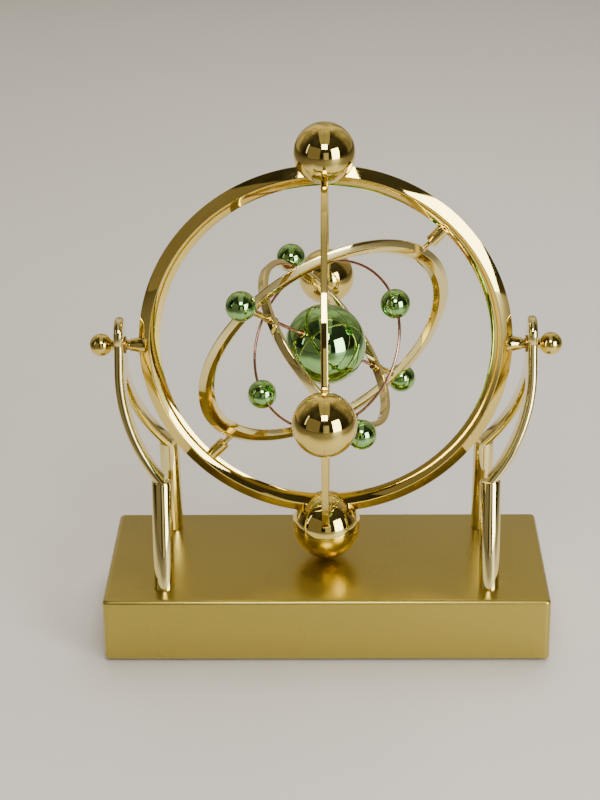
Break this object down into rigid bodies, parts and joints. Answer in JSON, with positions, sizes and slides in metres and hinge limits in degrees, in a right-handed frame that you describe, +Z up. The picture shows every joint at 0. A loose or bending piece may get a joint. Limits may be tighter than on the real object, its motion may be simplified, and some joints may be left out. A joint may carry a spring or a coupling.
{
  "type": "gimbal orbit desk sculpture",
  "caption": "Magnetically driven desk sculpture: nested gold gimbal rings with balls and green spheres swinging between two forked stands on a flat gold base.",
  "frame": {"origin": "on the table, under the middle of the model", "axes": "+X to the right, +Y away from the viewer, +Z up"},
  "size_m": [0.2212, 0.2138, 0.2504],
  "materials": {
    "gold_plate": "mirror gold electroplate on moulded plastic",
    "pale_gold_plate": "mirror pale gold electroplate on moulded plastic",
    "gold_pins": "polished gold plated pins",
    "bush_brass": "dull brass",
    "green_plate": "mirror green metallised plastic",
    "copper_wire": "polished copper-brown wire",
    "gold_paint": "satin metallic gold paint",
    "brown_plastic": "matt moulded plastic",
    "black_plastic": "matt moulded plastic",
    "rubber_feet": "matt rubber",
    "steel": "zinc plated",
    "magnet": "nickel plated",
    "battery": "printed sleeve without words",
    "board_green": "green solder mask",
    "lead_red": "PVC insulation",
    "white_plastic": "nylon",
    "winding_copper": "enamelled copper"
  },
  "bodies": {
    "base": {"base_shell": "gold_paint", "base_plate": "brown_plastic", "rubber_feet": "rubber_feet", "plate_screws": "steel", "post_screws": "steel", "battery_tray": "black_plastic", "batteries": "battery", "battery_contacts": "steel", "circuit_board": "board_green", "board_components": "black_plastic", "lead_wires": "lead_red", "coil_bobbin": "white_plastic", "coil_winding": "winding_copper", "coil_core": "steel", "switch_body": "black_plastic", "left_stand": "pale_gold_plate", "right_stand": "pale_gold_plate", "left_bush": "bush_brass", "right_bush": "bush_brass"},
    "door": {"battery_door": "brown_plastic"},
    "slider": {"switch_slider": "black_plastic"},
    "gimbal": {"main_ring": "gold_plate", "front_hoop": "gold_plate", "back_hoop": "gold_plate", "top_ball": "gold_plate", "front_ball": "gold_plate", "back_ball": "gold_plate", "bottom_ball_upper": "gold_plate", "bottom_ball_lower": "gold_plate", "drive_magnet": "magnet", "left_axle": "gold_pins", "right_axle": "gold_pins", "left_end_ball": "gold_plate", "right_end_ball": "gold_plate", "upper_socket": "gold_plate", "lower_socket": "gold_plate"},
    "orbit": {"orbit_ring": "pale_gold_plate", "upper_pivot": "gold_pins", "lower_pivot": "gold_pins", "near_planet": "green_plate", "far_planet": "green_plate", "planet_rod": "copper_wire", "rod_spacers": "gold_pins", "rod_collars": "gold_pins"},
    "core": {"core_sphere": "green_plate"},
    "inner": {"inner_ring": "pale_gold_plate", "upper_moon": "green_plate", "lower_moon": "green_plate", "moon_pins": "gold_pins"},
    "wire": {"wire_ring": "copper_wire", "right_bead": "green_plate", "left_bead": "green_plate"}
  },
  "joints": [
    {"name": "gimbal_swing", "type": "hinge", "parent": "base", "child": "gimbal", "pos_m": [0, 0, 0.1435], "axis": [1, 0, 0], "continuous": true},
    {"name": "orbit_ring_turn", "type": "hinge", "parent": "gimbal", "child": "orbit", "pos_m": [0, 0, 0.1435], "axis": [0.6947, 0, 0.7193], "continuous": true},
    {"name": "core_spin", "type": "hinge", "parent": "orbit", "child": "core", "pos_m": [0, 0, 0.1435], "axis": [-0.5454, -0.6521, 0.5266], "continuous": true},
    {"name": "inner_ring_turn", "type": "hinge", "parent": "orbit", "child": "inner", "pos_m": [0, 0, 0.1435], "axis": [-0.5454, -0.6521, 0.5266], "continuous": true},
    {"name": "wire_ring_swing", "type": "hinge", "parent": "inner", "child": "wire", "pos_m": [0, 0, 0.1435], "axis": [0.3266, -0.744, -0.583], "range_deg": [-70, 70]},
    {"name": "switch_slide", "type": "slide", "parent": "base", "child": "slider", "axis": [1, 0, 0], "range_m": [0, 0.0032]},
    {"name": "battery_door_slide", "type": "slide", "parent": "base", "child": "door", "axis": [1, 0, 0], "range_m": [0, 0.012]}
  ]
}
